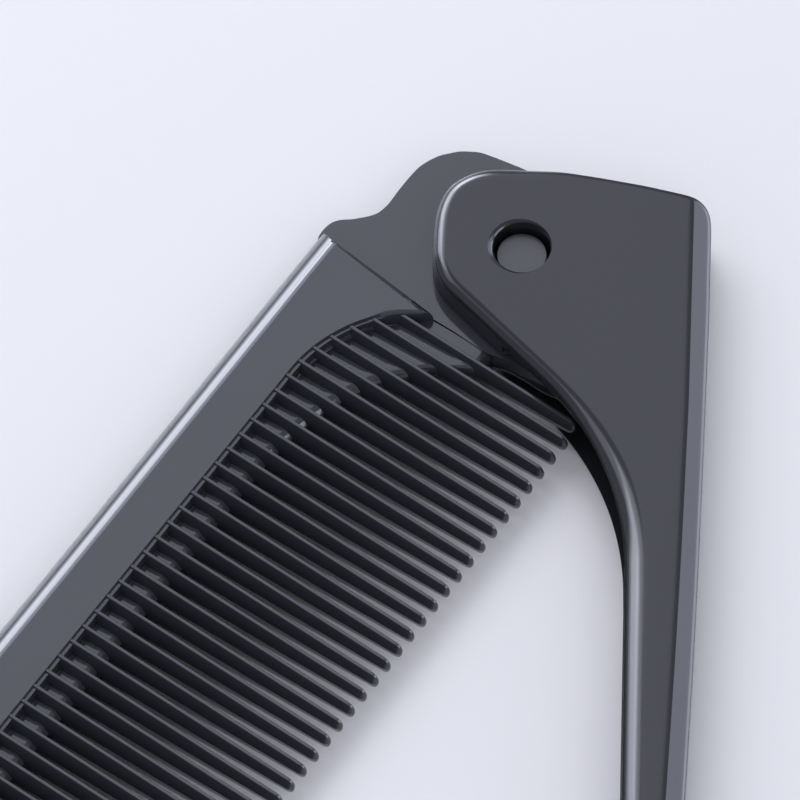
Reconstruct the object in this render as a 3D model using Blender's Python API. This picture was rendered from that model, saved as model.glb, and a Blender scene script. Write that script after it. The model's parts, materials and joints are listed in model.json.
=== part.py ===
"""Folding comb of two black plastic mouldings that turn on one pin.

Metres, +Z up. The handle's bar runs along -Y and the comb lies half folded beside it.
The handle is a channel: a top plate and a thin bottom plate joined by the back wall. Around the
pin the plates thicken into round lands, which hold the comb's thin tang between them. The rest
of the slot is taller, and the teeth's tips swing into it when the comb is closed.

Plan sizes of the handle are measured from the pin's axis. Plan sizes of the comb are a pair:
"along" runs from the pin down the comb and "across" runs from the spine to the tips.
"""

import math

import bmesh
import bpy

MM = 0.001

# Handle: heights above the surface it lies on
HANDLE_HEIGHT = 7.0 * MM
LOWER_PLATE_TOP = 0.8 * MM
SLOT_TOP = 5.45 * MM
LOWER_LAND_TOP = 1.4 * MM
UPPER_LAND_BOTTOM = 4.1 * MM
LAND_RADIUS = 9.4 * MM

# Handle: plan
HEAD_LEFT = -7.7 * MM
HEAD_TOP = 8.3 * MM
TOP_EDGE_RADIUS = 55.0 * MM
UPPER_LEFT_RADIUS = 5.3 * MM
LOWER_LEFT_RADIUS = 6.0 * MM
BACK_CORNER_RADIUS = 1.8 * MM
BACK_CORNER_X = 16.15 * MM
BACK_BOW_X = 16.5 * MM
BACK_BOW_Y = -24.0 * MM
BACK_BOW_RADIUS = 1100.0 * MM
BACK_BOW_END_Y = -54.0 * MM
DIAGONAL_REACH = 10.9 * MM
SHOULDER_RADIUS = 27.0 * MM
SHOULDER_CENTRE = (-17.1 * MM, -31.9 * MM)
BAR_TIP_CENTRE = (13.1 * MM, -106.6 * MM)
BAR_TIP_RADIUS = 1.5 * MM
BACK_WALL_INNER_X = 13.7 * MM
SLOT_END_Y = -105.4 * MM

# Handle: edges
EDGE_ROUND_WIDTH = 1.3 * MM
TOP_EDGE_ROUND_WIDTH = 0.4 * MM
EDGE_ROUND_DROP = 1.0 * MM
WALL_DRAFT = 0.2 * MM
CHAMFER_WIDTH = 1.6 * MM

# Pin and its holes
HANDLE_HOLE_RADIUS = 2.52 * MM
HOLE_RIM_CHAMFER = 0.3 * MM
TANG_HOLE_RADIUS = 2.55 * MM
PIN_RADIUS = 2.22 * MM
PIN_RECESS = 1.4 * MM
PIN_FOOT = 0.5 * MM
PIN_CHAMFER = 0.15 * MM

# Comb: heights from its middle plane
COMB_MID_Z = 2.75 * MM
BODY_HALF = 2.5 * MM
TANG_HALF = 1.05 * MM
WEB_HALF = 0.97 * MM

# Comb: plan, along and across
SPINE_ACROSS = -16.3 * MM
TOOTH_LINE_ACROSS = -10.05 * MM
TIP_ACROSS = 13.2 * MM
COMB_END_ALONG = 102.5 * MM
BODY_START_SPINE = 7.7 * MM
BODY_START_TEETH = 9.1 * MM
TOOTH_LINE_RADIUS = 14.0 * MM
TOOTH_LINE_BEND = 20.8 * MM
WEB_END_ACROSS = -6.9 * MM
WEB_END_RADIUS = 18.4 * MM
WEB_END_BEND = 25.5 * MM
WEB_START_ALONG = 8.95 * MM
END_CORNER_RADIUS = 5.0 * MM
SPINE_ROUND = 2.4 * MM
BODY_EDGE_CHAMFER = 0.25 * MM
WEB_NOSE = 0.9 * MM

# Tang: plan, along and across
TANG_BACK_RADIUS = 13.35 * MM
TANG_CORNER_RADIUS = 5.0 * MM
TANG_END_ALONG = -8.0 * MM
TANG_SIDE_ALONG = 8.6 * MM
TANG_SIDE_ACROSS = 12.2 * MM
TANG_NEAR_CORNER_RADIUS = 2.0 * MM
STEP_RADIUS = 3.0 * MM
STEP_ALONG = 1.9 * MM
STEP_TURN = math.radians(48.0)
STEP_RUN = 1.6 * MM
TANG_OVERLAP = 4.0 * MM

# Teeth
TOOTH_COUNT = 50
TOOTH_PITCH = 1.79 * MM
FIRST_TOOTH_ALONG = 10.56 * MM
RIDGE_HALF_WIDTH = 0.15 * MM
ROOT_HALF_WIDTH = 0.6 * MM
TIP_HALF_WIDTH = 0.44 * MM
ROOT_HALF_DEPTH = 2.4 * MM
TIP_HALF_DEPTH = 0.95 * MM
TOOTH_ROOT_OVERLAP = 0.6 * MM
GUARD_ALONG = 101.0 * MM
GUARD_HALF_WIDTH = 1.3 * MM

# Motion: the comb's angle from fully closed, as it lies
REST_ANGLE = math.radians(31.9)

BLACK_PLASTIC = (0.028, 0.029, 0.033, 1.0)


def clear_scene():
    """Remove every object of the open file."""
    for old in list(bpy.data.objects):
        bpy.data.objects.remove(old, do_unlink=True)


def collection(name):
    """Make a collection in the scene."""
    made = bpy.data.collections.new(name)
    bpy.context.scene.collection.children.link(made)
    return made


def plastic(name, roughness):
    """Black moulded plastic."""
    material = bpy.data.materials.new(name)
    material.use_nodes = True
    shader = material.node_tree.nodes["Principled BSDF"]
    shader.inputs["Base Color"].default_value = BLACK_PLASTIC
    shader.inputs["Roughness"].default_value = roughness
    shader.inputs["Metallic"].default_value = 0.0
    return material


def arc(centre, radius, start_deg, end_deg, steps):
    """Points on an arc, from the start angle to the end angle."""
    points = []
    for i in range(steps + 1):
        angle = math.radians(start_deg + (end_deg - start_deg) * i / steps)
        points.append((centre[0] + radius * math.cos(angle), centre[1] + radius * math.sin(angle)))
    return points


def add_object(name, mesh, target):
    """Wrap a mesh in an object of the target collection."""
    made = bpy.data.objects.new(name, mesh)
    target.objects.link(made)
    return made


def loft(name, rings, target):
    """Skin a stack of rings with the same number of points and cap both ends."""
    shell = bmesh.new()
    levels = [[shell.verts.new(point) for point in ring] for ring in rings]
    count = len(rings[0])
    for low, high in zip(levels, levels[1:]):
        for i in range(count):
            j = (i + 1) % count
            shell.faces.new((low[i], low[j], high[j], high[i]))
    shell.faces.new(reversed(levels[0]))
    shell.faces.new(levels[-1])
    bmesh.ops.recalc_face_normals(shell, faces=shell.faces)
    mesh = bpy.data.meshes.new(name)
    shell.to_mesh(mesh)
    shell.free()
    return add_object(name, mesh, target)


def plate(name, outline, low, high, target):
    """A flat outline as a filled 2D curve, thickened between two heights, made a mesh."""
    curve = bpy.data.curves.new(name + "_outline", "CURVE")
    curve.dimensions = "2D"
    curve.fill_mode = "BOTH"
    curve.extrude = (high - low) / 2
    spline = curve.splines.new("POLY")
    spline.points.add(len(outline) - 1)
    for point, (x, y) in zip(spline.points, outline):
        point.co = (x, y, 0.0, 1.0)
    spline.use_cyclic_u = True
    drawn = add_object(name + "_outline", curve, target)
    bpy.context.view_layer.update()
    shape = drawn.evaluated_get(bpy.context.evaluated_depsgraph_get())
    mesh = bpy.data.meshes.new_from_object(shape)
    bpy.data.objects.remove(drawn, do_unlink=True)
    shell = bmesh.new()
    shell.from_mesh(mesh)
    bmesh.ops.remove_doubles(shell, verts=shell.verts, dist=0.00001)
    bmesh.ops.translate(shell, verts=shell.verts, vec=(0.0, 0.0, (low + high) / 2))
    shell.to_mesh(mesh)
    shell.free()
    return add_object(name, mesh, target)


def round_bar(name, stations, target, sides=40):
    """A turned piece on the pin's axis, from (radius, height) pairs going up."""
    rings = []
    for radius, height in stations:
        step = 2 * math.pi / sides
        ring = [(radius * math.cos(i * step), radius * math.sin(i * step), height) for i in range(sides)]
        rings.append(ring)
    return loft(name, rings, target)


def combine(base, other, operation, keep_other=False):
    """Apply a Boolean of two objects to the first one."""
    modifier = base.modifiers.new(operation.lower(), "BOOLEAN")
    modifier.operation = operation
    modifier.solver = "EXACT"
    modifier.object = other
    bpy.context.view_layer.update()
    shape = base.evaluated_get(bpy.context.evaluated_depsgraph_get())
    mesh = bpy.data.meshes.new_from_object(shape)
    base.modifiers.clear()
    base.data = mesh
    if not keep_other:
        bpy.data.objects.remove(other, do_unlink=True)


def hide_cutter(cutter):
    """Keep a cutter in the file without showing or rendering it as a part."""
    cutter.hide_render = True
    cutter.display_type = "WIRE"


def handle_outline():
    """The handle's widest outline, clockwise from the left side, with the edge that each point is on."""
    left_x = HEAD_LEFT + UPPER_LEFT_RADIUS
    corner_left = (left_x, HEAD_TOP - UPPER_LEFT_RADIUS)
    top_centre = (left_x, HEAD_TOP - TOP_EDGE_RADIUS)
    corner_reach = TOP_EDGE_RADIUS - BACK_CORNER_RADIUS
    corner_dx = BACK_CORNER_X - BACK_CORNER_RADIUS - top_centre[0]
    corner_dy = math.sqrt(corner_reach ** 2 - corner_dx ** 2)
    corner_back = (top_centre[0] + corner_dx, top_centre[1] + corner_dy)
    corner_angle = math.degrees(math.atan2(corner_dy, corner_dx))
    points = [(x, y, "round") for x, y in arc(corner_left, UPPER_LEFT_RADIUS, 180, 90, 8)]
    points += [(x, y, "top") for x, y in arc(top_centre, TOP_EDGE_RADIUS, 90, corner_angle, 5)[1:]]
    points += [(x, y, "back") for x, y in arc(corner_back, BACK_CORNER_RADIUS, corner_angle, 0, 4)[1:]]
    for i in range(1, 7):
        y = corner_back[1] + (BACK_BOW_END_Y - corner_back[1]) * i / 6
        x = BACK_BOW_X - (y - BACK_BOW_Y) ** 2 / (2 * BACK_BOW_RADIUS)
        points.append((x, y, "back"))
    points += [(x, y, "back") for x, y in arc(BAR_TIP_CENTRE, BAR_TIP_RADIUS, 0, -60, 3)]
    points += [(x, y, "round") for x, y in arc(BAR_TIP_CENTRE, BAR_TIP_RADIUS, -90, -180, 4)]
    points += [(x, y, "round") for x, y in arc(SHOULDER_CENTRE, SHOULDER_RADIUS, -1.3, 45, 12)]
    lower_x = HEAD_LEFT + LOWER_LEFT_RADIUS
    lower_y = -DIAGONAL_REACH + LOWER_LEFT_RADIUS * math.sqrt(2) - lower_x
    points += [(x, y, "round") for x, y in arc((lower_x, lower_y), LOWER_LEFT_RADIUS, 225, 180, 6)]
    return points


def inward_normals(points):
    """The unit normal that points into a clockwise outline, at each of its points."""
    normals = []
    count = len(points)
    for i in range(count):
        before = points[i - 1]
        after = points[(i + 1) % count]
        dx = after[0] - before[0]
        dy = after[1] - before[1]
        length = math.hypot(dx, dy)
        normals.append((dy / length, -dx / length))
    return normals


def handle_rings():
    """Rings of the handle's outside from the bottom face to the top face."""
    outline = handle_outline()
    normals = inward_normals(outline)
    widths = {"round": EDGE_ROUND_WIDTH, "top": TOP_EDGE_ROUND_WIDTH}
    crease_x = BACK_CORNER_X - CHAMFER_WIDTH
    borders = []
    for (x, y, edge), (nx, ny) in zip(outline, normals):
        if edge == "back" and y > BAR_TIP_CENTRE[1]:
            bow = BACK_BOW_X - BACK_CORNER_X
            slip = max(0.0, BACK_BOW_END_Y - y) * 0.03
            borders.append((crease_x + bow * 0.5 - slip, min(y, 5.1 * MM)))
        elif edge == "back":
            borders.append((x + nx * 0.5 * MM, y + ny * 0.5 * MM))
        else:
            width = min(widths[edge], 1.1 * MM) if y < BACK_BOW_END_Y else widths[edge]
            borders.append((x + nx * width, y + ny * width))
    steps = [(0.0, 0.0), (0.35, 0.75), (1.0, 1.0)]
    upper = []
    for inward, rise in steps:
        ring = []
        for (x, y, edge), (nx, ny), (bx, by) in zip(outline, normals, borders):
            t = rise if edge == "back" else inward
            sx = x + nx * WALL_DRAFT
            sy = y + ny * WALL_DRAFT
            drop = EDGE_ROUND_DROP * (1.0 - rise)
            ring.append((sx + (bx - sx) * t, sy + (by - sy) * t, HANDLE_HEIGHT - drop))
        upper.append(ring)
    middle = [(x, y, HANDLE_HEIGHT / 2) for x, y, edge in outline]
    lower = [[(x, y, HANDLE_HEIGHT - z) for x, y, z in ring] for ring in reversed(upper)]
    return lower + [middle] + upper


def handle_slot(cutters):
    """Cutters of the channel: the low slot of the tang and the taller slot of the teeth."""
    wall = BACK_WALL_INNER_X
    far = -30.0 * MM
    past = 14.0 * MM
    low = [(far, SLOT_END_Y / 8), (far, past), (wall + 6 * MM, past)]
    low += [(wall + 6 * MM, 8.4 * MM), (wall - 0.1 * MM, 2.4 * MM), (wall - 0.1 * MM, SLOT_END_Y / 8)]
    tang_slot = plate("tang_slot", low, LOWER_LAND_TOP, UPPER_LAND_BOTTOM, cutters)
    tall = [(far, SLOT_END_Y), (far, past), (wall, past), (wall, BACK_BOW_END_Y)]
    tall += [(wall - 0.5 * MM, SLOT_END_Y)]
    teeth_slot = plate("teeth_slot", tall, LOWER_PLATE_TOP, SLOT_TOP, cutters)
    land = round_bar("land", [(LAND_RADIUS, -MM), (LAND_RADIUS, HANDLE_HEIGHT + MM)], cutters, 64)
    combine(teeth_slot, land, "DIFFERENCE")
    return [tang_slot, teeth_slot]


def build_handle(parts, cutters, material):
    """The handle: outside shell, channel, and the pin's hole with its chamfered rims."""
    handle = loft("handle", handle_rings(), parts)
    for cutter in handle_slot(cutters):
        hide_cutter(cutter)
        combine(handle, cutter, "DIFFERENCE", keep_other=True)
    rim = HANDLE_HOLE_RADIUS + HOLE_RIM_CHAMFER
    stations = [
        (rim + 0.1 * MM, -0.1 * MM),
        (HANDLE_HOLE_RADIUS, HOLE_RIM_CHAMFER),
        (HANDLE_HOLE_RADIUS, HANDLE_HEIGHT - HOLE_RIM_CHAMFER),
        (rim + 0.1 * MM, HANDLE_HEIGHT + 0.1 * MM),
    ]
    hole = round_bar("handle_hole", stations, cutters)
    hide_cutter(hole)
    combine(handle, hole, "DIFFERENCE", keep_other=True)
    handle.data.materials.clear()
    handle.data.materials.append(material)
    return handle


def build_pin(parts, material):
    """The pin: a plain bar whose flat ends are set back in the handle's holes."""
    top = HANDLE_HEIGHT - PIN_RECESS
    stations = [
        (PIN_RADIUS - PIN_CHAMFER, PIN_FOOT),
        (PIN_RADIUS, PIN_FOOT + PIN_CHAMFER),
        (PIN_RADIUS, top - PIN_CHAMFER),
        (PIN_RADIUS - PIN_CHAMFER, top),
    ]
    pin = round_bar("pivot_pin", stations, parts)
    pin.data.materials.append(material)
    return pin


def plan(along, across):
    """A point of the comb in its own frame, where the closed comb points along -Y."""
    return (across, -along)


def tooth_line(along):
    """Across position of the line where the teeth leave the body."""
    back = max(0.0, TOOTH_LINE_BEND - along)
    rise = TOOTH_LINE_RADIUS - math.sqrt(TOOTH_LINE_RADIUS ** 2 - back ** 2)
    return TOOTH_LINE_ACROSS + rise


def web_end(along):
    """Across position where the web between two teeth ends."""
    back = max(0.0, WEB_END_BEND - along)
    rise = WEB_END_RADIUS - math.sqrt(WEB_END_RADIUS ** 2 - back ** 2)
    return WEB_END_ACROSS + rise


def tooth_line_points(start, end, line, steps):
    """Points along the tooth line or the web's end, close together on the bend."""
    points = []
    for i in range(steps + 1):
        along = start + (end - start) * i / steps
        points.append((along, line(along)))
    return points


def build_body(parts):
    """The thick body: rounded along the spine, chamfered along its other edges."""
    outline = [(BODY_START_SPINE, SPINE_ACROSS, "end"), (BODY_START_SPINE + 0.8 * MM, SPINE_ACROSS, "spine")]
    corner = (COMB_END_ALONG - END_CORNER_RADIUS, SPINE_ACROSS + END_CORNER_RADIUS)
    outline += [(a, c, "spine") for a, c in arc(corner, END_CORNER_RADIUS, -90, 0, 6)]
    outline.append((COMB_END_ALONG, TOOTH_LINE_ACROSS + 0.01 * MM, "end"))
    bend = tooth_line_points(TOOTH_LINE_BEND, BODY_START_TEETH, tooth_line, 8)
    outline += [(a, c, "end") for a, c in bend]
    widths = {"spine": SPINE_ROUND, "end": BODY_EDGE_CHAMFER}
    normals = inward_normals([(c, -a) for a, c, edge in outline])
    upper = []
    for turn in (0.0, 22.5, 45.0, 67.5, 90.0):
        inward = 1.0 - math.cos(math.radians(turn))
        drop = 1.0 - math.sin(math.radians(turn))
        ring = []
        for (a, c, edge), (nx, ny) in zip(outline, normals):
            x, y = plan(a, c)
            width = widths[edge]
            ring.append((x - nx * width * inward, y - ny * width * inward, BODY_HALF - width * drop))
        upper.append(ring)
    lower = [[(x, y, -z) for x, y, z in ring] for ring in reversed(upper)]
    return loft("comb", lower + upper, parts)


def build_tang(parts):
    """The thin tang: round at the back, with a step out to the spine."""
    back_end = math.asin(STEP_ALONG / TANG_BACK_RADIUS)
    corner_along = TANG_END_ALONG + TANG_CORNER_RADIUS
    corner_reach = TANG_BACK_RADIUS - TANG_CORNER_RADIUS
    corner_across = -math.sqrt(corner_reach ** 2 - corner_along ** 2)
    meet = math.degrees(math.atan2(corner_across, corner_along))
    outline = arc((0.0, 0.0), TANG_BACK_RADIUS, math.degrees(back_end) - 90, meet, 8)
    outline += arc((corner_along, corner_across), TANG_CORNER_RADIUS, meet, -180, 7)[1:]
    far_across = TANG_SIDE_ACROSS - TANG_CORNER_RADIUS
    outline += arc((corner_along, far_across), TANG_CORNER_RADIUS, 180, 90, 7)
    near_corner = (TANG_SIDE_ALONG - TANG_NEAR_CORNER_RADIUS, TANG_SIDE_ACROSS - TANG_NEAR_CORNER_RADIUS)
    outline += arc(near_corner, TANG_NEAR_CORNER_RADIUS, 90, 0, 5)
    outline.append((TANG_SIDE_ALONG, web_end(WEB_START_ALONG) - WEB_NOSE))
    outline.append((WEB_START_ALONG + TANG_OVERLAP, tooth_line(WEB_START_ALONG + TANG_OVERLAP) - 0.5 * MM))
    outline.append((WEB_START_ALONG + TANG_OVERLAP, SPINE_ACROSS + SPINE_ROUND))
    outline.append((BODY_START_SPINE + 1.0 * MM, SPINE_ACROSS + 0.4 * MM))
    start_across = -TANG_BACK_RADIUS * math.cos(back_end)
    centre = (STEP_ALONG, start_across - STEP_RADIUS)
    turned = 90 - math.degrees(STEP_TURN)
    concave = arc(centre, STEP_RADIUS, turned, 90, 5)
    run = (concave[0][0] + STEP_RUN * math.cos(STEP_TURN), concave[0][1] - STEP_RUN * math.sin(STEP_TURN))
    outline.append((run[0] + 0.6 * MM, SPINE_ACROSS + 0.02 * MM))
    outline.append(run)
    outline += concave[:-1]
    return plate("tang", [plan(a, c) for a, c in outline], -TANG_HALF, TANG_HALF, parts)


def build_web(parts):
    """The web between the teeth's roots, with an edge that slopes down to its middle plane."""
    end = GUARD_ALONG
    inner = tooth_line_points(WEB_START_ALONG, TOOTH_LINE_BEND, tooth_line, 8)
    inner.append((end, TOOTH_LINE_ACROSS))
    outer = [(end, WEB_END_ACROSS)]
    outer += tooth_line_points(WEB_END_BEND, WEB_START_ALONG, web_end, 10)
    rings = []
    for height, reach in ((-WEB_HALF, -WEB_NOSE), (0.0, 0.0), (WEB_HALF, -WEB_NOSE)):
        ring = [plan(a, c - 0.5 * MM) + (height,) for a, c in inner]
        ring += [plan(a, c + reach) + (height,) for a, c in outer]
        rings.append(ring)
    return loft("web", rings, parts)


def tooth_section(along, across, half_width, half_depth, ridge):
    """Six-sided section of a tooth: a narrow ridge above and below, widest in the middle."""
    flat = min(ridge, half_width)
    corners = [
        (-flat, half_depth),
        (flat, half_depth),
        (half_width, 0.0),
        (flat, -half_depth),
        (-flat, -half_depth),
        (-half_width, 0.0),
    ]
    return [plan(along + offset, across) + (height,) for offset, height in corners]


def build_tooth(name, along, half_width, ridge, target):
    """One tooth from its root inside the body to its rounded tip."""
    root = tooth_line(along) - TOOTH_ROOT_OVERLAP
    length = TIP_ACROSS - TOOTH_LINE_ACROSS
    tip_width = half_width * TIP_HALF_WIDTH / ROOT_HALF_WIDTH
    sections = []
    for across, blunt in ((root, 1.0), (TIP_ACROSS - 0.6 * MM, 1.0), (TIP_ACROSS - 0.15 * MM, 0.72),
                          (TIP_ACROSS, 0.35)):
        run = max(0.0, across - TOOTH_LINE_ACROSS) / length
        width = (half_width + (tip_width - half_width) * run) * blunt
        depth = (ROOT_HALF_DEPTH + (TIP_HALF_DEPTH - ROOT_HALF_DEPTH) * run) * blunt
        sections.append(tooth_section(along, across, width, depth, ridge * blunt))
    return loft(name, sections, target)


def join(name, pieces, target):
    """Join separate solids that don't touch into one mesh object."""
    joined = bmesh.new()
    for piece in pieces:
        joined.from_mesh(piece.data)
        bpy.data.objects.remove(piece, do_unlink=True)
    mesh = bpy.data.meshes.new(name)
    joined.to_mesh(mesh)
    joined.free()
    return add_object(name, mesh, target)


def build_comb(parts, cutters, material):
    """The comb moulding: body, web, teeth and tang as one solid, bored for the pin."""
    comb = build_body(parts)
    combine(comb, build_tang(parts), "UNION")
    combine(comb, build_web(parts), "UNION")
    teeth = []
    for i in range(TOOTH_COUNT):
        along = FIRST_TOOTH_ALONG + i * TOOTH_PITCH
        teeth.append(build_tooth("tooth", along, ROOT_HALF_WIDTH, RIDGE_HALF_WIDTH, parts))
    teeth.append(build_tooth("guard", GUARD_ALONG, GUARD_HALF_WIDTH, GUARD_HALF_WIDTH - 0.4 * MM, parts))
    combine(comb, join("teeth", teeth, parts), "UNION")
    hole = round_bar("tang_hole", [(TANG_HOLE_RADIUS, -3 * MM), (TANG_HOLE_RADIUS, 3 * MM)], cutters)
    hide_cutter(hole)
    combine(comb, hole, "DIFFERENCE", keep_other=True)
    comb.data.materials.clear()
    comb.data.materials.append(material)
    return comb


def shade(part):
    """Smooth the rounded faces and keep the edges crisp."""
    part.data.shade_smooth()
    part.data.set_sharp_from_angle(angle=math.radians(25))


def plan_box(parts):
    """The lowest and highest X and Y of all the parts as they lie."""
    corners = [part.matrix_world @ vertex.co for part in parts for vertex in part.data.vertices]
    xs = [corner.x for corner in corners]
    ys = [corner.y for corner in corners]
    return min(xs), max(xs), min(ys), max(ys)


def main():
    clear_scene()
    parts = collection("folding_comb")
    cutters = collection("folding_comb_cutters")
    handle = build_handle(parts, cutters, plastic("handle_plastic", 0.33))
    pin = build_pin(parts, plastic("pin_plastic", 0.4))
    comb = build_comb(parts, cutters, plastic("comb_plastic", 0.3))
    comb.location.z = COMB_MID_Z
    comb.rotation_euler.z = -REST_ANGLE
    bpy.context.view_layer.update()
    pieces = [handle, pin, comb]
    low_x, high_x, low_y, high_y = plan_box(pieces)
    shift = (-(low_x + high_x) / 2, -(low_y + high_y) / 2)
    for piece in pieces + list(cutters.objects):
        piece.location.x += shift[0]
        piece.location.y += shift[1]
    for piece in pieces:
        shade(piece)


main()
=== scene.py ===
import json
import math

import bmesh
import bpy
from mathutils import Matrix, Vector


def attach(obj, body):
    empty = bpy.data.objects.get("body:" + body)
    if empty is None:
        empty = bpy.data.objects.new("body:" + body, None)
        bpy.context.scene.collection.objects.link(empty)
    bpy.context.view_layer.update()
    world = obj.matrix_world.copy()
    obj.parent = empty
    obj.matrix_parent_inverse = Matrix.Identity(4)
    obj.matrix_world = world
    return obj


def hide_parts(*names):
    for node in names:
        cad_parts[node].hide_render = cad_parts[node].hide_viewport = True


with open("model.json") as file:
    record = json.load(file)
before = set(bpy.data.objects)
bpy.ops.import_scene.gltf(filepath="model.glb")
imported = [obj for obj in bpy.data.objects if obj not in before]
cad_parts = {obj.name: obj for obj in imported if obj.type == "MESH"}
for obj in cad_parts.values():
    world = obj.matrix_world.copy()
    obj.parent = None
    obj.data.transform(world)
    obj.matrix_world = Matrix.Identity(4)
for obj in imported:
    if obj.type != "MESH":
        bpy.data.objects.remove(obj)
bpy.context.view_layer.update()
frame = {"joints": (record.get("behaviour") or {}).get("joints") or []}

# Shapes are made in millimetres from the pin's axis and scaled once. Heights are from the floor, the
# comb's from its own middle. The comb is made in its closed place: u is the distance from the pin
# along the row of teeth, toward -y, and v the distance across the comb, toward the tips and +x.
MM = 0.001
JOINT = frame["joints"][0]
PIVOT = Vector((JOINT["pos_m"][0], JOINT["pos_m"][1], 0.0))
REST_ANGLE = math.radians(JOINT["range_deg"][1])
ROUND_SIDES = 96

# Handle: heights and slots
HEIGHT = 7.0
LOWER_PLATE_TOP = 0.85
SLOT_TOP = 5.5
LOWER_LAND_TOP = 1.37
UPPER_LAND_BOTTOM = 4.07
LAND_RADIUS = 9.4
LAND_SIDES = 128
WALL_X = 13.75
SLOT_END_Y = -105.4
OPEN_X = -30.0
OPEN_Y = 15.0
TANG_SLOT = ((OPEN_X, -13.0), (OPEN_X, OPEN_Y), (WALL_X + 6, OPEN_Y), (WALL_X + 6, 8.4), (WALL_X + 2.3, 4.2),
             (WALL_X, 2.5), (WALL_X - 0.1, -13.0))
TEETH_SLOT = ((OPEN_X, SLOT_END_Y), (OPEN_X, OPEN_Y), (WALL_X, OPEN_Y), (WALL_X, -54.0),
              (WALL_X - 0.5, SLOT_END_Y))

# Handle: outline, clockwise from the head's left side. An arc is centre, radius, two angles, steps.
OUTLINE_STEP = 0.35
OUTLINE_SMOOTHING = 5
HEAD_LEFT = ((-7.79, 0.8), (-7.77, 2.2), (-7.67, 3.53), (-7.55, 4.13), (-7.38, 4.74), (-7.17, 5.35),
             (-6.87, 5.96), (-6.46, 6.56))
HEAD_TOP_ARC = ((-2.45, 2.96), 5.3, 127, 90, 8)
TOP_EDGE = ((-1.2, 8.28), (0.0, 8.2), (1.6, 8.05), (3.3, 7.8), (5.1, 7.54), (6.8, 7.31), (8.5, 7.03),
            (10.3, 6.75), (12.0, 6.4), (13.7, 6.03), (14.6, 5.82), (15.1, 5.68), (15.5, 5.5), (15.85, 5.2),
            (16.1, 4.75), (16.25, 4.2), (16.33, 3.5))
BACK_EDGE = ((16.36, 2.2), (16.4, -0.8), (16.48, -4.9), (16.49, -9.9), (16.49, -20.1), (16.48, -25.1),
             (16.46, -30.2), (16.42, -35.3), (16.36, -40.3), (16.28, -45.4), (16.19, -50.5), (16.12, -54.5))
TIP_CORNER = (14.65, -106.6)
TIP_ARC = ((13.2, -106.6), 1.45, 0, -180, 12)
BAR_FAR = (11.8, -101.6)
BAR_NEAR = (10.15, -32.5)
SHOULDER_ARC = ((-16.9, -31.9), 27.0, -1.3, 45, 30)
SHOULDER_BLEND_FROM = 10
SHOULDER_BLEND_STEPS = 19
HEAD_LOWER_ARC = ((-1.75, -0.365), 6.0, 225, 183, 12)

# Handle: fillet of the top edge as width, drop, bulge of the wall's top and tilt of the fillet's foot
HEAD_FILLET = (1.2, 1.15, 0.0, 86)
BACK_FILLET = (0.45, 0.1, 0.0, 24)
CORNER_FILLET = (0.3, 0.3, 0.0, 80)
TIP_FILLET = (0.6, 0.6, 0.1, 80)
BAR_FAR_FILLET = (2.1, 1.15, -0.3, 58)
BAR_NEAR_FILLET = (2.2, 1.2, -0.3, 58)
TOP_BLEND_FROM_X = -2.0
TOP_BLEND_WIDTH = 6.0
FILLET_STEPS = 12

# Handle: foot, wall and the bead under the fillet
FOOT_ROUND = 0.8
FOOT_PROFILE = ((1.0, 0.0), (0.55, 0.12), (0.25, 0.33), (0.07, 0.65), (0.0, 1.0))
WALL_STEPS = 8
BULGE_RISE = 1.6
BEAD = 0.25
BEAD_STEPS = 5
BEAD_TURN = 16

# Handle: the crease as y and x, its bow along the bar, and the strip and roll-off beside it
CREASE = ((-106.4, 13.4), (-54.4, 14.5), (-14.9, 15.03), (5.1, 14.78))
CREASE_BOW = 0.12
CREASE_END_Y = -106.0
CREASE_GAP = 0.02
CREASE_DEPTH = 0.1
STRIP_SLOPE = 0.44
STRIP_BOW = 0.03
ROLL_WIDTH = 0.9
ROLL_DROP = 0.08
ROLL_STEPS = 5

# Pin hole, its upper rim as extra radius, height over the handle's top and sideways shift, and the pin
HOLE_RADIUS = 2.52
RIM_RADIUS = 2.68
RIM_REACH = 0.6
RIM_DEPTH = 0.005
LOWER_RIM_TURNS = (0.0, 0.35, 0.7, 1.05, math.pi / 2)
LOWER_RIM_FLARE = 0.02
CUT_PAST = 0.1
DISHED_RIM = ((0.0, -0.3, 0.0), (0.04, -0.2, -0.03), (0.11, -0.11, -0.09), (0.2, -0.04, -0.15),
              (0.27, 0.0, -0.19), (0.28, 0.1, -0.2))
PIN_RADIUS = 2.2
PIN_TOP = 5.6
PIN_FOOT = 0.5
PIN_TOP_BEVEL = 0.12
PIN_FOOT_BEVEL = 0.15

# Comb: body
COMB_MID = 2.75
BODY_HALF = 2.5
BODY_START_U = 9.0
BODY_END_U = 102.5
BODY_START_BLEND = 4.0
BODY_END_LINE = ((-16.3, 7.2), (-15.9, 7.35), (-15.24, 7.65), (-14.48, 7.88), (-12.4, 8.16), (-10.6, 8.4),
                 (-8.57, 8.7), (-6.61, 8.95), (-4.26, 9.3), (-3.6, 9.22), (-3.2, 8.97), (4.0, 8.97))
FIRST_STEP = 0.1
FINE_STEP = 0.3
FINE_END_U = 26.0
COARSE_STEP = 1.0
END_BEVEL = 0.25
END_CORNER = 5.0
END_CORNER_STEPS = 12
END_ROUND = 1.0
END_SHRINK = 0.6
SPINE_V = -16.3
SPINE_ROUND = 2.42
SPINE_STEPS = 20
TOP_MARGIN = 0.35
EDGE_MARGIN = 0.2
SPINE_TAPER = 0.16
TAPER_FROM_U = 12.0
TAPER_LENGTH = 30.0

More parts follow.
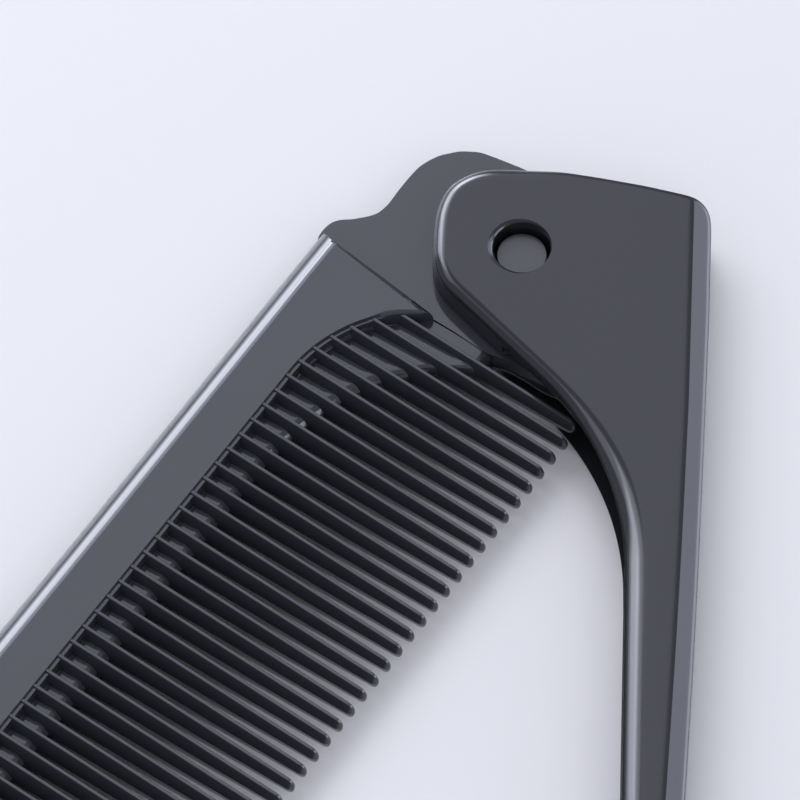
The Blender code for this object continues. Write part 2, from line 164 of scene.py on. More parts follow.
# Comb: line of the roots, with the edge beside it as distance past the line and height. The edge is
# rolled near the tang and has a ledge further on, with a second, lower ledge for a short way.
TOOTH_LINE_V = -10.05
ROOT_BEND_U = 20.8
ROOT_BEND_RADIUS = 14.0
ROOT_ROLL = ((-0.38, 2.5), (-0.22, 2.48), (-0.07, 2.42), (0.06, 2.32), (0.17, 2.18), (0.26, 2.0),
             (0.34, 1.77), (0.42, 1.45))
ROOT_LEDGE = ((-0.1, 2.5), (-0.03, 2.5), (0.0, 2.49), (0.05, 2.18), (0.06, 2.165), (0.33, 2.16),
              (0.345, 2.14), (0.42, 1.45))
LEDGE_FROM_U = 11.3
LEDGE_BLEND = 1.6
SECOND_LEDGE_END_U = 17.0
SECOND_LEDGE_BLEND = 4.0

# Comb: webs. Their foot is plain or has the second ledge, as distance past the line of roots and
# height. WEB_ENDS is where each one ends, from the first gap on, and the nose is distance back and drop.
WEB_HALF = 0.97
WEB_RISE = 0.07
WEB_FLOOR = WEB_HALF - WEB_RISE
PLAIN_FOOT = ((0.45, WEB_FLOOR + 0.02), (0.5, WEB_FLOOR), (0.54, WEB_FLOOR))
SECOND_LEDGE = ((0.45, 1.41), (0.7, 1.4), (0.78, WEB_FLOOR))
WEB_FLOOR_START = 0.8
WEB_ENDS = (2.1, -0.6, -2.1, -3.65, -4.6, -5.3, -5.9, -6.3, -6.65, -6.85)
FIRST_WEB_END = 3.0
LAST_WEB_END = -6.9
WEB_NOSE = ((0.95, 0.0), (0.9, 0.01), (0.55, 0.14), (0.5, 0.17), (0.12, 0.5), (0.06, 0.58), (0.0, 0.75),
            (0.0, WEB_HALF))

# Comb: teeth, with the tip as distance from its end and share of the full section
TOOTH_COUNT = 50
PITCH = 1.79
FIRST_TOOTH_U = 10.56
FIRST_TOOTH_CUT = 0.3
TOOTH_HALF_WIDTH = 0.6
TOOTH_RIDGE = 0.15
GUARD_U = 101.0
GUARD_HALF_WIDTH = 1.3
GUARD_RIDGE = 0.9
TIP_V = 13.2
ROOT_OVERLAP = 0.6
ROOT_HALF_DEPTH = 2.4
TIP_HALF_DEPTH = 0.95
TIP_WIDTH_SHARE = 0.74
TOOTH_TIP = ((0.62, 1.0), (0.4, 0.93), (0.2, 0.76), (0.07, 0.52), (0.0, 0.2))
RIDGE_FLAT = 0.7
RIDGE_DROP = 0.05
FLANK = ((0.34, 0.72), (0.68, 0.4))
TOOTH_LENGTH_SHARES = (0.0, 0.33, 0.66)

# Comb: tang, with its outline as u and v, clockwise from the near end of the spine
TANG_HALF = 1.05
TANG_ROUND = 0.16
TANG_ROUND_STEPS = 5
TANG_STEP = 0.3
TANG_SMOOTHING = 2
TANG_HOLE_RADIUS = 2.55
TANG_HOLE_REACH = 3
TANG_OUTER_EDGE = ((7.3, -16.14), (6.68, -16.12), (6.27, -16.08), (6.0, -16.03), (5.73, -15.93),
                   (5.5, -15.75), (5.15, -15.46), (4.78, -14.88), (4.16, -14.26), (3.48, -13.65),
                   (3.1, -13.35), (2.7, -13.14), (1.45, -12.94), (-0.22, -13.03), (-1.77, -13.03),
                   (-3.18, -12.95), (-4.17, -12.63), (-5.13, -12.17), (-6.49, -10.98), (-7.4, -9.48),
                   (-7.74, -7.7), (-8.08, -5.62), (-8.3, -3.5), (-8.3, 3.0))
TANG_HEAD_ARC = ((-3.3, 6.5), 5.0, 180, 90, 8)
TANG_CORNER_ARC = ((6.3, 9.5), 2.0, 90, 0, 6)
TANG_INNER_EDGE = ((8.5, 8.0), (8.4, 6.5), (8.4, 4.8), (8.5, 4.1), (8.75, 3.4), (8.93, 2.8), (8.88, 1.2),
                   (8.75, -1.0), (8.72, -3.5), (9.4, -4.6), (11.0, -7.5), (11.0, -14.0), (9.0, -14.9),
                   (8.6, -15.6), (7.9, -16.0))

# Materials, as colour, roughness, noise seed and refractive index. Edges above the angle stay sharp.
HANDLE_PLASTIC = ((0.0170, 0.0173, 0.0195), 0.15, 1.0, 1.5)
PIN_PLASTIC = ((0.032, 0.033, 0.037), 0.27, 2.0, 1.56)
COMB_PLASTIC = ((0.040, 0.0412, 0.046), 0.09, 3.0, 1.56)
HANDLE_SHARP_ANGLE = 27.0
PIN_SHARP_ANGLE = 32.0
COMB_SHARP_ANGLE = 17.0
MOTTLE_SCALE = 90.0
GRAIN_SCALE = 2600.0
NOISE_DETAIL = 2.0
TINT_SPREAD = 0.05
ROUGHNESS_SPREAD = 0.02
GRAIN_STRENGTH = 0.06
GRAIN_HEIGHT = 0.00002
FLOOR_TINTS = ((0.85, 0.835, 0.80, 1.0), (0.87, 0.855, 0.82, 1.0))
FLOOR_ROUGHNESS = 0.32
FLOOR_NOISE_SCALE = 9.0

# Camera: the long lens of the photograph, aimed to the left of the hole and below it
ELEVATION = 58.98
TURN = 2.75
LENS = 570.6
SENSOR = 36.0
CAMERA_DISTANCE = 1.1005
AIM_LEFT = 10.59
AIM_DOWN = 13.36

# Studio, in metres. A panel is name, direction, distance, width, height, radiance, colour and use.
# Made in another order, the panels give another picture.
FLOOR_HALF = 1.5
SKY_COLOUR = (0.82, 0.85, 1.0, 1.0)
SKY_STRENGTH = 0.65
AIM = Vector((0.01, 0.02, 0.0))
STRIP_COLOUR = (0.84, 0.865, 1.0)
FILL_COLOUR = (0.88, 0.9, 1.0)
RIGHT_COLOUR = (0.78, 0.82, 1.0)
RIGHT_DIRECTION = (0.724, 0.545, 0.4226)
LIGHTS_ONLY = (True, False)
REFLECTS_ONLY = (False, True)
LIGHTS_AND_REFLECTS = (True, True)
PANELS = (
    ("key", (-0.4, 0.5, 0.77), 1.2, 0.8, 0.8, 2.1, (0.89, 0.9, 1.0), LIGHTS_ONLY),
    ("strip", (-0.549, 0.702, 0.515), 1.2, 1.2, 1.05, 3.0, STRIP_COLOUR, REFLECTS_ONLY),
    ("strip_middle", (-0.549, 0.702, 0.494), 1.2, 1.0, 0.64, 4.4, STRIP_COLOUR, REFLECTS_ONLY),
    ("strip_core", (-0.45, 0.75, 0.495), 1.2, 0.85, 0.44, 4.6, STRIP_COLOUR, REFLECTS_ONLY),
    ("bright_core", (-0.21, 0.83, 0.513), 1.2, 0.36, 0.44, 6.0, STRIP_COLOUR, REFLECTS_ONLY),
    ("top_panel", (-0.05, 0.515, 0.857), 1.4, 0.7, 0.6, 1.12, (0.84, 0.86, 1.0), LIGHTS_AND_REFLECTS),
    ("north_fill", (0.1, 0.75, 0.65), 1.5, 0.8, 0.5, 1.2, FILL_COLOUR, LIGHTS_ONLY),
    ("right_panel", RIGHT_DIRECTION, 1.4, 0.8, 0.95, 3.1, RIGHT_COLOUR, REFLECTS_ONLY),
    ("right_low", (0.835, 0.522, 0.17), 1.4, 0.6, 0.4, 3.0, RIGHT_COLOUR, REFLECTS_ONLY),
    ("right_fill", RIGHT_DIRECTION, 1.4, 0.8, 0.95, 1.3, (0.85, 0.88, 1.0), LIGHTS_ONLY),
    ("south_fill", (0.3, -0.6, 0.75), 1.5, 1.0, 0.8, 0.6, FILL_COLOUR, LIGHTS_ONLY),
    ("west_panel", (-0.75, 0.13, 0.63), 1.3, 0.6, 0.6, 1.8, STRIP_COLOUR, REFLECTS_ONLY),
    ("side_panel", (0.9, -0.16, 0.38), 1.4, 0.9, 0.7, 4.0, (0.82, 0.85, 1.0), REFLECTS_ONLY),
)


# Numbers and outlines

def mix(a, b, t):
    return a + (b - a) * t


def blend(a, b, t):
    """Two lists of values, mixed one by one."""
    return tuple(mix(p, q, t) for p, q in zip(a, b))


def ease(t):
    t = min(1.0, max(0.0, t))
    return t * t * (3 - 2 * t)


def along_table(table, at):
    """Value at a place in a table of (place, value), held at both ends."""
    for (a, fa), (b, fb) in zip(table, table[1:]):
        if at <= b:
            return mix(fa, fb, max(0.0, (at - a) / (b - a)))
    return table[-1][1]


def arc(centre, radius, start_deg, end_deg, steps):
    points = []
    for i in range(steps + 1):
        angle = math.radians(start_deg + (end_deg - start_deg) * i / steps)
        points.append((centre[0] + radius * math.cos(angle), centre[1] + radius * math.sin(angle)))
    return points


def circle(radius, height, sides=ROUND_SIDES, shift=0.0):
    angles = [2 * math.pi * i / sides for i in range(sides)]
    return [(shift + radius * math.cos(angle), radius * math.sin(angle), height) for angle in angles]


def resample(points, step):
    """Even spacing round a closed outline, keeping each point's extra values by interpolation."""
    closed = points + [points[0]]
    lengths = [0.0]
    for a, b in zip(closed, closed[1:]):
        lengths.append(lengths[-1] + math.hypot(b[0] - a[0], b[1] - a[1]))
    total = lengths[-1]
    count = round(total / step)
    out = []
    k = 0
    for i in range(count):
        at = total * i / count
        while lengths[k + 1] < at:
            k += 1
        span = lengths[k + 1] - lengths[k]
        t = (at - lengths[k]) / span if span else 0.0
        out.append(blend(closed[k], closed[k + 1], t))
    return out


def smooth(points, times):
    """Rounds off a closed outline, with each point drawn toward its two neighbours."""
    for _ in range(times):
        following = points[1:] + points[:1]
        points = [tuple((a + 2 * b + c) / 4 for a, b, c in zip(points[i - 1], points[i], following[i]))
                  for i in range(len(points))]
    return points


def inward(points):
    """Unit normals into a clockwise outline."""
    out = []
    for i in range(len(points)):
        a = points[i - 1]
        b = points[(i + 1) % len(points)]
        dx, dy = b[0] - a[0], b[1] - a[1]
        length = math.hypot(dx, dy)
        out.append((dy / length, -dx / length))
    return out


# Meshes

def new_object(name, data):
    made = bpy.data.objects.new(name, data)
    bpy.context.scene.collection.objects.link(made)
    return made


def mesh_from(name, shell):
    bmesh.ops.recalc_face_normals(shell, faces=shell.faces)
    bmesh.ops.scale(shell, vec=(MM, MM, MM), verts=shell.verts)
    mesh = bpy.data.meshes.new(name)
    shell.to_mesh(mesh)
    shell.free()
    return new_object(name, mesh)


def open_shell(rings):
    """Faces between rings, closed at the first ring only, and the vertices of the last ring."""
    shell = bmesh.new()
    levels = [[shell.verts.new(p) for p in ring] for ring in rings]
    count = len(rings[0])
    for low, high in zip(levels, levels[1:]):
        for i in range(count):
            j = (i + 1) % count
            shell.faces.new((low[i], low[j], high[j], high[i]))
    shell.faces.new(levels[0])
    return shell, levels[-1]


def loft(name, rings):
    shell, border = open_shell(rings)
    shell.faces.new(border)
    return mesh_from(name, shell)


def turned(name, stations, sides=ROUND_SIDES):
    return loft(name, [circle(radius, height, sides) for radius, height in stations])


def prism(name, outline, low, high):
    return loft(name, [[(x, y, low) for x, y in outline], [(x, y, high) for x, y in outline]])


def boolean(base, other, operation):
    modifier = base.modifiers.new("cut", "BOOLEAN")
    modifier.operation = operation
    modifier.solver = "EXACT"
    modifier.object = other
    bpy.context.view_layer.update()
    shape = base.evaluated_get(bpy.context.evaluated_depsgraph_get())
    mesh = bpy.data.meshes.new_from_object(shape)
    base.modifiers.clear()
    base.data = mesh
    bpy.data.objects.remove(other, do_unlink=True)


def join(name, pieces):
    joined = bmesh.new()
    for piece in pieces:
        joined.from_mesh(piece.data)
        bpy.data.objects.remove(piece, do_unlink=True)
    mesh = bpy.data.meshes.new(name)
    joined.to_mesh(mesh)
    joined.free()
    return new_object(name, mesh)


def finish_shading(piece, angle):
    piece.data.shade_smooth()
    piece.data.set_sharp_from_angle(angle=math.radians(angle))
    weighted = piece.modifiers.new("even_normals", "WEIGHTED_NORMAL")
    weighted.keep_sharp = True
    weighted.mode = "FACE_AREA"


def sharpen(piece, chosen):
    """Keeps each edge crisp that has both ends on the chosen line."""
    on_line = [chosen(v.co / MM) for v in piece.data.vertices]
    for edge in piece.data.edges:
        if all(on_line[i] for i in edge.vertices):
            edge.use_edge_sharp = True


# Handle

def crease_x(y):
    """The line where the handle's top turns down to the bevelled strip of the back edge."""
    bow_from, bow_to = CREASE[1][0], CREASE[2][0]
    t = min(1.0, max(0.0, (y - bow_from) / (bow_to - bow_from)))
    return along_table(CREASE, y) + CREASE_BOW * math.sin(math.pi * t)


def on_crease(point):
    return abs(point.x - crease_x(point.y)) < CREASE_GAP and point.z > HEIGHT - CREASE_DEPTH


def on_hole_rim(point):
    """The hole's upper rim. Left smooth, it would shade the flat face around it."""
    return math.hypot(point.x, point.y) < HOLE_RADIUS + RIM_REACH and point.z > HEIGHT - RIM_DEPTH


def top_height(x, y):
    """Height of the handle's upper surface: flat, rolled off just inside the crease, then bevelled."""
    past = x - crease_x(y)
    if past > 0:
        return HEIGHT - ROLL_DROP - STRIP_SLOPE * past - STRIP_BOW * past * past
    if past > -ROLL_WIDTH:
        return HEIGHT - ROLL_DROP * ((past + ROLL_WIDTH) / ROLL_WIDTH) ** 2
    return HEIGHT


def handle_outline():
    """The wall's outline, clockwise: x, y and the four values of the fillet above it."""
    points = []

    def add(run, fillet):
        for x, y in run:
            points.append((x, y) + fillet)

    add(HEAD_LEFT, HEAD_FILLET)
    add(arc(*HEAD_TOP_ARC), HEAD_FILLET)
    for x, y in TOP_EDGE:
        t = ease((x - TOP_BLEND_FROM_X) / TOP_BLEND_WIDTH)
        add([(x, y)], blend(HEAD_FILLET, BACK_FILLET, t))
    add(BACK_EDGE, BACK_FILLET)
    add([TIP_CORNER], CORNER_FILLET)
    add(arc(*TIP_ARC)[1:], TIP_FILLET)
    add([BAR_FAR], BAR_FAR_FILLET)
    add([BAR_NEAR], BAR_NEAR_FILLET)
    for i, point in enumerate(arc(*SHOULDER_ARC)[1:]):
        t = ease((i - SHOULDER_BLEND_FROM) / SHOULDER_BLEND_STEPS)
        add([point], blend(BAR_NEAR_FILLET, HEAD_FILLET, t))
    add(arc(*HEAD_LOWER_ARC), HEAD_FILLET)
    return smooth(resample(points, OUTLINE_STEP), OUTLINE_SMOOTHING)


def foot_rings(edge):
    rings = []
    for inset, rise in FOOT_PROFILE:
        rings.append([(x + nx * FOOT_ROUND * inset, y + ny * FOOT_ROUND * inset, FOOT_ROUND * rise)
                      for (x, y, *_), (nx, ny) in edge])
    return rings


def wall_rings(edge):
    """The wall, which bulges or draws in toward its top, and the quarter-round bead that ends it."""
    rings = []
    for i in range(1, WALL_STEPS + 1):
        t = i / WALL_STEPS
        ring = []
        for (x, y, _, drop, bulge, _), (nx, ny) in edge:
            out = bulge * math.sin(math.pi / 2 * min(1.0, BULGE_RISE * t))
            height = mix(FOOT_ROUND, top_height(x, y) - drop - BEAD, t)
            ring.append((x - nx * out, y - ny * out, height))
        rings.append(ring)
    for i in range(1, BEAD_STEPS + 1):
        turn = math.radians(BEAD_TURN * i)
        ring = []
        for (x, y, _, drop, bulge, _), (nx, ny) in edge:
            out = bulge * math.cos(turn)
            height = top_height(x, y) - drop - BEAD * (1 - math.sin(turn))
            ring.append((x - nx * out, y - ny * out, height))
        rings.append(ring)
    return rings


def fillet_rings(edge):
    rings = []
    for i in range(FILLET_STEPS + 1):
        ring = []
        for (x, y, width, drop, _, tilt), (nx, ny) in edge:
            first = math.radians(tilt)
            now = first * (1 - i / FILLET_STEPS)
            inset = width * (1 - math.sin(now) / math.sin(first))
            fall = drop * (1 - math.cos(now)) / (1 - math.cos(first))
            px, py = x + nx * inset, y + ny * inset
            ring.append((px, py, top_height(px, py) - fall))
        rings.append(ring)
    return rings


def handle_shell():
    """Outer shell with a top that is split along the crease and its roll-off."""
    outline = handle_outline()
    edge = list(zip(outline, inward(outline)))
    shell, border = open_shell(foot_rings(edge) + wall_rings(edge) + fillet_rings(edge))
    back = [i for i, v in enumerate(border)
            if v.co.x > crease_x(v.co.y) + CREASE_GAP and v.co.y > CREASE_END_Y]
    first, last = back[0], back[-1]
    span = border[first:last + 1]
    top_y = span[0].co.y
    # Lines that run beside the crease, from the bevel's foot inward
    rows = [span]
    for k in range(ROLL_STEPS + 1):
        row = []
        for v in span:
            y = min(v.co.y, top_y - CREASE_GAP)
            x = crease_x(y) - ROLL_WIDTH * k / ROLL_STEPS
            row.append(shell.verts.new((x, y, top_height(x - 1e-6, y))))
        rows.append(row)
    for a, b in zip(rows, rows[1:]):
        for i in range(len(span) - 1):
            shell.faces.new((a[i], a[i + 1], b[i + 1], b[i]))
    ring = border[:first] + [row[0] for row in rows] + rows[-1][1:-1]
    ring += [row[-1] for row in reversed(rows)] + border[last + 1:]
    top = shell.faces.new(ring)
    bmesh.ops.triangulate(shell, faces=[top], ngon_method="BEAUTY")
    bmesh.ops.remove_doubles(shell, verts=shell.verts, dist=0.004)
    return mesh_from("handle_moulding", shell)


def make_hole_cutter():
    """The pin hole: eased at its lower end, dished a little to the left at its upper end."""
    rim = RIM_RADIUS - HOLE_RADIUS
    stations = [(RIM_RADIUS + LOWER_RIM_FLARE, -CUT_PAST, 0.0)]
    for t in LOWER_RIM_TURNS:
        stations.append((HOLE_RADIUS + rim * (1 - math.sin(t)), rim * (1 - math.cos(t)), 0.0))
    stations += [(HOLE_RADIUS + extra, HEIGHT + rise, shift) for extra, rise, shift in DISHED_RIM]
    return loft("hole", [circle(radius, height, shift=shift) for radius, height, shift in stations])


def make_handle():
    handle = handle_shell()
    boolean(handle, prism("tang_slot", TANG_SLOT, LOWER_LAND_TOP, UPPER_LAND_BOTTOM), "DIFFERENCE")
    slot = prism("teeth_slot", TEETH_SLOT, LOWER_PLATE_TOP, SLOT_TOP)
    land = turned("land", [(LAND_RADIUS, -1.0), (LAND_RADIUS, HEIGHT + 1.0)], LAND_SIDES)
    boolean(slot, land, "DIFFERENCE")
    boolean(handle, slot, "DIFFERENCE")
    boolean(handle, make_hole_cutter(), "DIFFERENCE")
    return handle


def make_pin():
    third = PIN_TOP_BEVEL / 3
    stations = [(PIN_RADIUS - PIN_FOOT_BEVEL, PIN_FOOT), (PIN_RADIUS, PIN_FOOT + PIN_FOOT_BEVEL),
                (PIN_RADIUS, PIN_TOP - PIN_TOP_BEVEL), (PIN_RADIUS - third, PIN_TOP - third),
                (PIN_RADIUS - PIN_TOP_BEVEL, PIN_TOP)]
    return turned("pin", stations)


# Comb

def plan(u, v):
    return (v, -u)


def tooth_line(u):
    """The line of the teeth's roots, which bends toward the tips near the tang."""
    back = max(0.0, ROOT_BEND_U - u)
    return TOOTH_LINE_V + ROOT_BEND_RADIUS - math.sqrt(ROOT_BEND_RADIUS ** 2 - back ** 2)


def web_end(u):
    """Where the web between two teeth ends."""
    j = (u - FIRST_TOOTH_U) / PITCH - 0.5
    if j >= len(WEB_ENDS) - 1:
        return LAST_WEB_END
    if j < 0:
        return min(FIRST_WEB_END, WEB_ENDS[0] + (WEB_ENDS[0] - WEB_ENDS[1]) * -j)
    i = int(j)
    return mix(WEB_ENDS[i], WEB_ENDS[i + 1], j - i)


def spine_v(u):
    """The spine's edge, which runs in a little and turns round the far corner."""
    past = min(END_CORNER, max(0.0, u - (BODY_END_U - END_CORNER)))
    taper = SPINE_TAPER * min(1.0, max(0.0, (u - TAPER_FROM_U) / TAPER_LENGTH))
    return SPINE_V + taper + END_CORNER - math.sqrt(END_CORNER ** 2 - past ** 2)


def section(u):
    """Upper half of the moulding's cross-section: rounded spine, flat top, ledge, wall, web and its nose."""
    line = tooth_line(u)
    end = web_end(u)
    spine = spine_v(u)
    width = min(SPINE_ROUND, line - spine - TOP_MARGIN)
    points = [(spine, 0.0)]
    for i in range(SPINE_STEPS + 1):
        t = math.pi / 2 * i / SPINE_STEPS
        points.append((spine + width * (1 - math.cos(t)), BODY_HALF - SPINE_ROUND * (1 - math.sin(t))))
    points.append((mix(spine + width, line - EDGE_MARGIN, 0.5), BODY_HALF))
    sharp = ease((u - LEDGE_FROM_U) / LEDGE_BLEND)
    for rolled, ledged in zip(ROOT_ROLL, ROOT_LEDGE):
        past, height = blend(rolled, ledged, sharp)
        points.append((line + past, height))
    step = sharp * (1 - ease((u - SECOND_LEDGE_END_U) / SECOND_LEDGE_BLEND))
    for plain, ledged in zip(PLAIN_FOOT, SECOND_LEDGE):
        past, height = blend(plain, ledged, step)
        points.append((line + past, height))
    floor_start = (line + WEB_FLOOR_START, WEB_FLOOR)
    nose_start = (end - WEB_NOSE[0][0], WEB_HALF)
    points += [blend(floor_start, nose_start, k / 4) for k in range(1, 4)]
    points += [(end - back, WEB_HALF - drop) for back, drop in WEB_NOSE]
    return points


def body_stations():
    """Places along the body: close together by the tang and round the far corner."""
    corner = BODY_END_U - END_CORNER
    stations = [BODY_START_U, BODY_START_U + FIRST_STEP, BODY_START_U + END_BEVEL]
    while stations[-1] < FINE_END_U:
        stations.append(stations[-1] + FINE_STEP)
    while stations[-1] < corner - COARSE_STEP:
        stations.append(stations[-1] + COARSE_STEP)
    turns = [math.pi / 2 * i / END_CORNER_STEPS for i in range(END_CORNER_STEPS + 1)]
    return stations + [corner + END_CORNER * math.sin(turn) for turn in turns]


def make_body():
    """Body and web as one sweep along the comb, cut off along the slanted line where the tang starts."""
    rows = []
    for u in body_stations():
        half = section(u)
        ring = half + [(v, -z) for v, z in reversed(half[1:-1])]
        limit = BODY_HALF - END_BEVEL * max(0.0, 1 - (u - BODY_START_U) / END_BEVEL)
        past = max(0.0, u - (BODY_END_U - END_ROUND))
        shrink = math.sqrt(1 - END_SHRINK * past ** 2)
        share = 1 - ease((u - BODY_START_U) / BODY_START_BLEND)
        row = []
        for v, z in ring:
            slant = along_table(BODY_END_LINE, v) - BODY_START_U
            row.append(plan(u + slant * share, v) + (max(-limit, min(limit, z)) * shrink,))
        rows.append(row)
    return loft("comb_moulding", rows)


def make_tang():
    """The thin plate round the pin, with its edges rounded above and below."""
    outline = list(TANG_OUTER_EDGE) + arc(*TANG_HEAD_ARC) + arc(*TANG_CORNER_ARC) + list(TANG_INNER_EDGE)
    outline = smooth(resample(outline, TANG_STEP), TANG_SMOOTHING)
    points = [plan(u, v) for u, v in outline]
    normals = inward(points)
    upper = []
    for i in range(TANG_ROUND_STEPS + 1):
        t = math.pi / 2 * i / TANG_ROUND_STEPS
        inset = TANG_ROUND * (1 - math.cos(t))
        height = TANG_HALF - TANG_ROUND * (1 - math.sin(t))
        upper.append([(x - nx * inset, y - ny * inset, height) for (x, y), (nx, ny) in zip(points, normals)])
    lower = [[(x, y, -z) for x, y, z in ring] for ring in reversed(upper)]
    return loft("tang", lower + upper)


def tooth_section(u, v, half_width, half_depth, ridge):
    """Section of a tooth: a narrow ridge with softened edges and gently bowed flanks."""
    drop = RIDGE_DROP * half_depth / ROOT_HALF_DEPTH
    quarter = [(ridge * RIDGE_FLAT, half_depth), (ridge, half_depth - drop)]
    quarter += [(mix(ridge, half_width, out), half_depth * share) for out, share in FLANK]
    ring = [(-half_width, 0.0)] + [(-a, b) for a, b in reversed(quarter)] + quarter + [(half_width, 0.0)]
    ring += [(a, -b) for a, b in reversed(quarter)] + [(-a, -b) for a, b in quarter]
    return [plan(u + a, v) + (b,) for a, b in ring]


def make_tooth(name, u, half_width, ridge, tip_v):
    root = tooth_line(u) - ROOT_OVERLAP
    length = TIP_V - TOOTH_LINE_V
    stations = [(mix(root, tip_v, t), 1.0) for t in TOOTH_LENGTH_SHARES]
    stations += [(tip_v - back, share) for back, share in TOOTH_TIP]
    sections = []
    for v, share in stations:
        run = max(0.0, v - TOOTH_LINE_V) / length
        width = half_width * mix(1.0, TIP_WIDTH_SHARE, run) * share
        depth = mix(ROOT_HALF_DEPTH, TIP_HALF_DEPTH, run) * share
        sections.append(tooth_section(u, v, width, depth, ridge * share))
    return loft(name, sections)


def make_comb():
    comb = make_body()
    boolean(comb, make_tang(), "UNION")
    teeth = []
    for i in range(TOOTH_COUNT):
        tip = TIP_V - (FIRST_TOOTH_CUT if i == 0 else 0.0)
        teeth.append(make_tooth("tooth", FIRST_TOOTH_U + i * PITCH, TOOTH_HALF_WIDTH, TOOTH_RIDGE, tip))
    teeth.append(make_tooth("guard", GUARD_U, GUARD_HALF_WIDTH, GUARD_RIDGE, TIP_V))
    boolean(comb, join("teeth", teeth), "UNION")
    hole = turned("tang_hole", [(TANG_HOLE_RADIUS, -TANG_HOLE_REACH), (TANG_HOLE_RADIUS, TANG_HOLE_REACH)])
    boolean(comb, hole, "DIFFERENCE")
    return comb


# Materials

def new_material(name):
    """A material with its node tree, its shader and a node of object coordinates."""
    material = bpy.data.materials.new(name)
    material.use_nodes = True
    tree = material.node_tree
    return material, tree, tree.nodes["Principled BSDF"], tree.nodes.new("ShaderNodeTexCoord")


def noise(tree, coords, scale):
    made = tree.nodes.new("ShaderNodeTexNoise")
    made.inputs["Scale"].default_value = scale
    made.inputs["Detail"].default_value = NOISE_DETAIL
    tree.links.new(coords.outputs["Object"], made.inputs["Vector"])
    return made


def tint(tree, shader, factor, first, second):
    """Mixes two colours by a noise, into the shader's colour."""
    mixed = tree.nodes.new("ShaderNodeMix")
    mixed.data_type = "RGBA"
    mixed.inputs["A"].default_value = first
    mixed.inputs["B"].default_value = second
    tree.links.new(factor.outputs["Fac"], mixed.inputs["Factor"])
    tree.links.new(mixed.outputs["Result"], shader.inputs["Base Color"])


def plastic(name, base, roughness, seed, ior):
    """Black moulded plastic: faint mottling of colour and gloss, and a fine surface texture."""
    material, tree, shader, coords = new_material(name)
    shader.inputs["IOR"].default_value = ior
    mottle = noise(tree, coords, MOTTLE_SCALE)
    mottle.noise_dimensions = "4D"
    mottle.inputs["W"].default_value = seed
    darker = tuple(c * (1 - TINT_SPREAD) for c in base) + (1.0,)
    lighter = tuple(c * (1 + TINT_SPREAD) for c in base) + (1.0,)
    tint(tree, shader, mottle, darker, lighter)
    rough = tree.nodes.new("ShaderNodeMapRange")
    rough.inputs["To Min"].default_value = roughness - ROUGHNESS_SPREAD
    rough.inputs["To Max"].default_value = roughness + ROUGHNESS_SPREAD
    tree.links.new(mottle.outputs["Fac"], rough.inputs["Value"])
    tree.links.new(rough.outputs["Result"], shader.inputs["Roughness"])
    grain = noise(tree, coords, GRAIN_SCALE)
    bump = tree.nodes.new("ShaderNodeBump")
    bump.inputs["Strength"].default_value = GRAIN_STRENGTH
    bump.inputs["Distance"].default_value = GRAIN_HEIGHT
    tree.links.new(grain.outputs["Fac"], bump.inputs["Height"])
    tree.links.new(bump.outputs["Normal"], shader.inputs["Normal"])
    return material


def floor_material():
    material, tree, shader, coords = new_material("pale_floor")
    shader.inputs["Roughness"].default_value = FLOOR_ROUGHNESS
    shader.inputs["Specular IOR Level"].default_value = 0.5
    tint(tree, shader, noise(tree, coords, FLOOR_NOISE_SCALE), *FLOOR_TINTS)
    return material


def dress(piece, material, body, node):
    piece.data.materials.clear()
    piece.data.materials.append(material)
    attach(piece, body)
    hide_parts(node)


# Studio

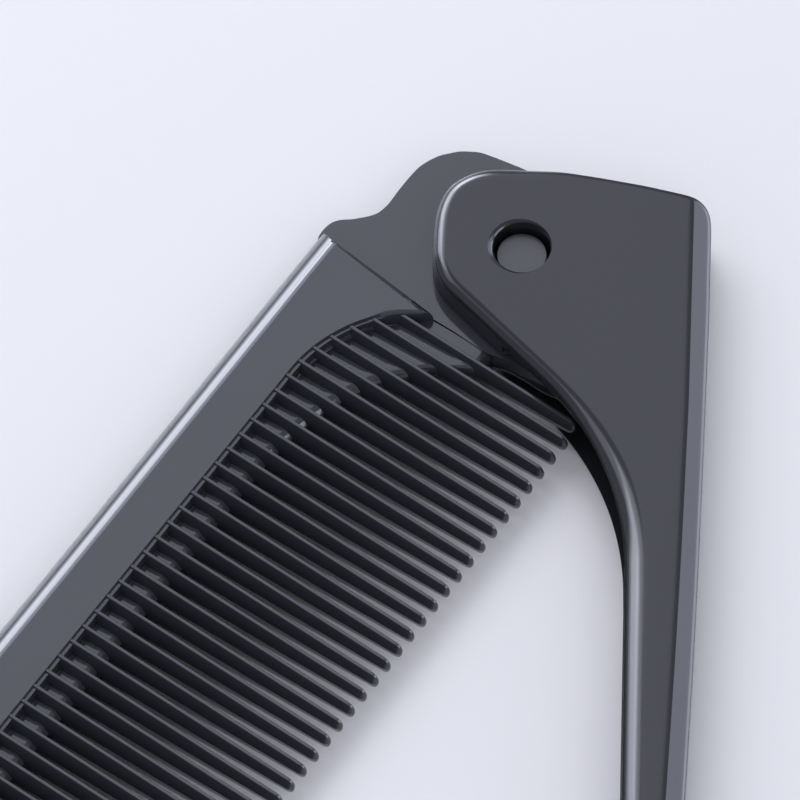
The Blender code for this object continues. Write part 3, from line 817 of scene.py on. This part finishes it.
def make_camera():
    """The photograph's view: a long lens, 59 degrees down, nearly along the handle."""
    elevation = math.radians(ELEVATION)
    turn = math.radians(TURN)
    level = math.cos(elevation)
    forward = Vector((-math.sin(turn) * level, math.cos(turn) * level, -math.sin(elevation)))
    right = Vector((math.cos(turn), math.sin(turn), 0.0))
    up = right.cross(forward)
    hole = PIVOT + Vector((0.0, 0.0, HEIGHT * MM))
    target = hole - right * AIM_LEFT * MM - up * AIM_DOWN * MM
    data = bpy.data.cameras.new("camera")
    data.lens = LENS
    data.sensor_width = SENSOR
    data.clip_start = 0.05
    data.clip_end = 20.0
    camera = new_object("camera", data)
    matrix = Matrix((right, up, -forward)).transposed().to_4x4()
    matrix.translation = target - forward * CAMERA_DISTANCE
    camera.matrix_world = matrix
    bpy.context.scene.camera = camera


def make_floor():
    mesh = bpy.data.meshes.new("floor")
    corners = [(x * FLOOR_HALF, y * FLOOR_HALF, 0) for x, y in ((-1, -1), (1, -1), (1, 1), (-1, 1))]
    mesh.from_pydata(corners, [], [(0, 1, 2, 3)])
    floor = new_object("floor", mesh)
    mesh.materials.append(floor_material())


def make_sky():
    world = bpy.data.worlds.new("studio")
    bpy.context.scene.world = world
    world.use_nodes = True
    background = world.node_tree.nodes["Background"]
    background.inputs["Color"].default_value = SKY_COLOUR
    background.inputs["Strength"].default_value = SKY_STRENGTH


def panel(name, direction, distance, width, height, radiance, colour, use):
    """A soft rectangle of light that faces the object. Its use is whether it lights and reflects."""
    data = bpy.data.lights.new(name, "AREA")
    data.shape = "RECTANGLE"
    data.size = width
    data.size_y = height
    data.energy = radiance * math.pi * width * height
    data.color = colour
    light = new_object(name, data)
    light.location = AIM + Vector(direction).normalized() * distance
    light.rotation_euler = (AIM - light.location).to_track_quat("-Z", "Y").to_euler()
    light.visible_diffuse, light.visible_glossy = use


def make_studio():
    make_floor()
    make_sky()
    for row in PANELS:
        panel(*row)


make_camera()
handle = make_handle()
pin = make_pin()
comb = make_comb()
finish_shading(handle, HANDLE_SHARP_ANGLE)
finish_shading(pin, PIN_SHARP_ANGLE)
finish_shading(comb, COMB_SHARP_ANGLE)
sharpen(handle, on_crease)
sharpen(handle, on_hole_rim)
for piece in (handle, pin):
    piece.data.transform(Matrix.Translation(PIVOT))
lift = Matrix.Translation(PIVOT + Vector((0.0, 0.0, COMB_MID * MM)))
comb.data.transform(lift @ Matrix.Rotation(-REST_ANGLE, 4, "Z"))
dress(handle, plastic("handle_black", *HANDLE_PLASTIC), "handle", "handle")
dress(pin, plastic("pin_black", *PIN_PLASTIC), "handle", "pivot_pin")
dress(comb, plastic("comb_black", *COMB_PLASTIC), "comb", "comb")
make_studio()
bpy.context.scene.view_settings.view_transform = "Standard"
